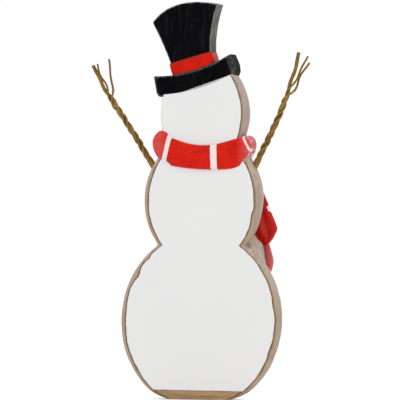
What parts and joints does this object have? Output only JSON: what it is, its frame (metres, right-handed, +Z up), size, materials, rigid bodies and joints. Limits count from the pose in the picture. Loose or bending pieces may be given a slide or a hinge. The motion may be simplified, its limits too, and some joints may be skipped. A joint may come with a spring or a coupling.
{
  "type": "wooden snowman figure",
  "caption": "Free-standing carved wooden snowman with a flat back, tilted top hat, carved scarf with tails and twisted twig arms that pull out of shoulder sockets.",
  "frame": {"origin": "centre of the flat underside that the figure stands on", "axes": "+Z up, the face and buttons look towards -Y, the flat painted back looks towards +Y, +X is the figure's own left"},
  "size_m": [0.2836, 0.093, 0.5],
  "materials": {
    "white_painted_wood": "matt white paint rubbed back to tan wood along the edges",
    "black_painted_wood": "satin black paint, dry-brushed grey on the side walls",
    "red_painted_wood": "satin red paint over carved wood",
    "bare_wood": "unfinished",
    "orange_painted_wood": "satin orange paint",
    "charcoal_painted_wood": "satin charcoal paint",
    "twig_bark": "dry golden-brown bark",
    "steel_brad": "plain"
  },
  "bodies": {
    "figure": {"body_board": "white_painted_wood", "hat_brim": "black_painted_wood", "hat_crown": "black_painted_wood", "hat_band": "red_painted_wood", "hat_dowels": "bare_wood", "scarf_back": "red_painted_wood", "scarf_front": "red_painted_wood", "scarf_knot": "red_painted_wood", "scarf_tail_short": "red_painted_wood", "scarf_tail_long": "red_painted_wood", "scarf_brads": "steel_brad", "carrot_nose": "orange_painted_wood", "left_eye": "charcoal_painted_wood", "right_eye": "charcoal_painted_wood", "mouth_pebbles": "charcoal_painted_wood", "coat_button_top": "charcoal_painted_wood", "coat_button_middle": "charcoal_painted_wood", "coat_button_bottom": "charcoal_painted_wood"},
    "left_arm": {"left_arm_main_twig": "twig_bark", "left_arm_second_twig": "twig_bark", "left_arm_third_twig": "twig_bark"},
    "right_arm": {"right_arm_main_twig": "twig_bark", "right_arm_second_twig": "twig_bark", "right_arm_third_twig": "twig_bark"}
  },
  "joints": [
    {"name": "left_arm_pull", "type": "slide", "parent": "figure", "child": "left_arm", "axis": [0.5, 0, 0.866], "range_m": [0, 0.045]},
    {"name": "right_arm_pull", "type": "slide", "parent": "figure", "child": "right_arm", "axis": [-0.4695, 0, 0.8829], "range_m": [0, 0.045]}
  ]
}
